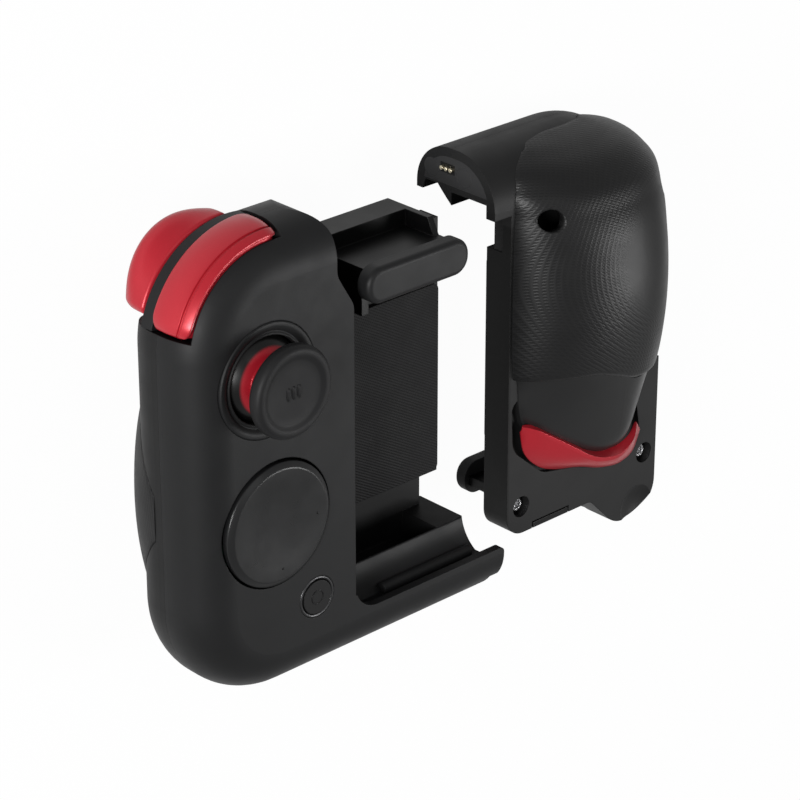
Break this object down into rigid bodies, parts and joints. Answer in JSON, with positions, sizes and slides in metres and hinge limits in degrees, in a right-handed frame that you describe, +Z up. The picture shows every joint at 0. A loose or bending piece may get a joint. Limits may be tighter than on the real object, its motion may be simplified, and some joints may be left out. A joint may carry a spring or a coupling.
{
  "type": "clip-on phone game controller",
  "caption": "Two-piece clip-on game controller for a phone, with spring jaws, a stick, a direction disc, shoulder triggers and rounded grips; one half face up, one face down.",
  "frame": {"origin": "centre of the pair's bounding box in plan, at the level it lies on", "axes": "+X from the left unit to the right unit, +Y the left unit's natural up, +Z up from the table, out of the left unit's face"},
  "size_m": [0.1416, 0.1044, 0.0431],
  "materials": {
    "shell_dark": "fine matt texture",
    "shell_grey": "satin",
    "grip_silver": "satin grey",
    "red": "satin red",
    "rubber": "matt rubber",
    "black": "matt",
    "steel": "bright",
    "board": "solder mask",
    "battery": "foil",
    "gold": "plated"
  },
  "bodies": {
    "left_unit": {"left_front_shell": "shell_dark", "left_rear_shell": "shell_dark", "left_grip_cover": "rubber", "left_rest_pad": "rubber", "left_jaw_rib": "rubber", "left_stick_socket": "black", "left_stick_base": "shell_dark", "left_disc_base": "shell_dark", "left_shoulder_frame": "shell_dark", "left_shoulder_pins": "steel", "left_main_board": "board", "left_battery": "battery", "left_switches": "black", "left_screws": "steel", "left_arm_cap": "black", "left_arm_magnets": "steel", "left_contact_block": "black", "left_contact_pads": "gold", "left_charge_port": "steel"},
    "right_unit": {"right_front_shell": "shell_dark", "right_rear_cover": "shell_grey", "right_grip_cover": "grip_silver", "right_trigger_hood": "grip_silver", "right_trigger_pin": "steel", "right_jaw_rib": "rubber", "right_arm_cap": "black", "right_arm_magnets": "steel", "right_contact_block": "black", "right_rest_pad": "rubber", "right_main_board": "board", "right_battery": "battery", "right_switches": "black", "right_button_dish": "black", "right_screws": "steel"},
    "left_stick_yoke_body": {"left_stick_yoke": "black"},
    "left_stick_body": {"left_stick_shaft": "red"},
    "left_stick_cap_body": {"left_stick_cap": "rubber"},
    "left_disc_gimbal_body": {"left_disc_gimbal": "black"},
    "left_disc_body": {"left_disc": "black"},
    "left_mode_button_body": {"left_mode_button": "black"},
    "left_bumper_body": {"left_bumper": "red"},
    "left_trigger_body": {"left_trigger": "red"},
    "left_jaw_body": {"left_sliding_jaw": "shell_dark", "left_jaw_lip": "rubber", "left_guide_rods": "steel"},
    "right_trigger_body": {"right_trigger": "red"},
    "right_contacts_body": {"right_contact_pins": "gold"},
    "right_jaw_body": {"right_sliding_jaw": "shell_dark", "right_jaw_lip": "rubber", "right_guide_rods": "steel"},
    "right_button_1_body": {"right_face_button_1": "black"},
    "right_button_2_body": {"right_face_button_2": "black"},
    "right_button_3_body": {"right_face_button_3": "black"},
    "right_button_4_body": {"right_face_button_4": "black"}
  },
  "joints": [
    {"name": "left_stick_tilt_x", "type": "hinge", "parent": "left_unit", "child": "left_stick_yoke_body", "pos_m": [-0.05239, 0.02209, 0.02615], "axis": [1, 0, 0], "range_deg": [-15, 15], "stiffness_Nm_per_rad": 0.05},
    {"name": "left_stick_tilt_y", "type": "hinge", "parent": "left_stick_yoke_body", "child": "left_stick_body", "pos_m": [-0.05239, 0.02209, 0.02615], "axis": [0, 1, 0], "range_deg": [-15, 15], "stiffness_Nm_per_rad": 0.05},
    {"name": "left_stick_click", "type": "slide", "parent": "left_stick_body", "child": "left_stick_cap_body", "axis": [0, 0, -1], "range_m": [0, 0.0004], "stiffness_N_per_m": 2000, "springref_m": -0.0008},
    {"name": "left_disc_tilt_x", "type": "hinge", "parent": "left_unit", "child": "left_disc_gimbal_body", "pos_m": [-0.05079, -0.00871, 0.03165], "axis": [1, 0, 0], "range_deg": [-4, 4], "stiffness_Nm_per_rad": 0.3},
    {"name": "left_disc_tilt_y", "type": "hinge", "parent": "left_disc_gimbal_body", "child": "left_disc_body", "pos_m": [-0.05079, -0.00871, 0.03165], "axis": [0, 1, 0], "range_deg": [-4, 4], "stiffness_Nm_per_rad": 0.3},
    {"name": "left_mode_press", "type": "slide", "parent": "left_unit", "child": "left_mode_button_body", "axis": [0, 0, -1], "range_m": [0, 0.0004], "stiffness_N_per_m": 1500, "springref_m": -0.0006},
    {"name": "left_bumper_hinge", "type": "hinge", "parent": "left_unit", "child": "left_bumper_body", "pos_m": [-0.0591, 0.04401, 0.02455], "axis": [0.829, 0.5592, 0], "range_deg": [0, 3], "stiffness_Nm_per_rad": 0.3, "springref_deg": -2.86},
    {"name": "left_trigger_hinge", "type": "hinge", "parent": "left_unit", "child": "left_trigger_body", "pos_m": [-0.0591, 0.04401, 0.01755], "axis": [-0.829, -0.5592, 0], "range_deg": [0, 8], "stiffness_Nm_per_rad": 0.12, "springref_deg": -5.73},
    {"name": "left_jaw_slide", "type": "slide", "parent": "left_unit", "child": "left_jaw_body", "axis": [0, 1, 0], "range_m": [0, 0.022], "stiffness_N_per_m": 150, "springref_m": -0.03},
    {"name": "pair_spacing", "type": "slide", "parent": "left_unit", "child": "right_unit", "axis": [1, 0, 0], "range_m": [0, 0.05]},
    {"name": "right_trigger_hinge", "type": "hinge", "parent": "right_unit", "child": "right_trigger_body", "pos_m": [0.04861, -0.01691, 0.02505], "axis": [1, 0, 0], "range_deg": [0, 4], "stiffness_Nm_per_rad": 0.3, "springref_deg": -3.44},
    {"name": "right_contacts_press", "type": "slide", "parent": "right_unit", "child": "right_contacts_body", "axis": [1, 0, 0], "range_m": [0, 0.0008], "stiffness_N_per_m": 1200, "springref_m": -0.0004},
    {"name": "right_jaw_slide", "type": "slide", "parent": "right_unit", "child": "right_jaw_body", "axis": [0, -1, 0], "range_m": [0, 0.022], "stiffness_N_per_m": 150, "springref_m": -0.03},
    {"name": "right_button_1_press", "type": "slide", "parent": "right_unit", "child": "right_button_1_body", "axis": [0, 0, 1], "range_m": [0, 0.0004], "stiffness_N_per_m": 1500, "springref_m": -0.0006},
    {"name": "right_button_2_press", "type": "slide", "parent": "right_unit", "child": "right_button_2_body", "axis": [0, 0, 1], "range_m": [0, 0.0004], "stiffness_N_per_m": 1500, "springref_m": -0.0006},
    {"name": "right_button_3_press", "type": "slide", "parent": "right_unit", "child": "right_button_3_body", "axis": [0, 0, 1], "range_m": [0, 0.0004], "stiffness_N_per_m": 1500, "springref_m": -0.0006},
    {"name": "right_button_4_press", "type": "slide", "parent": "right_unit", "child": "right_button_4_body", "axis": [0, 0, 1], "range_m": [0, 0.0004], "stiffness_N_per_m": 1500, "springref_m": -0.0006}
  ]
}
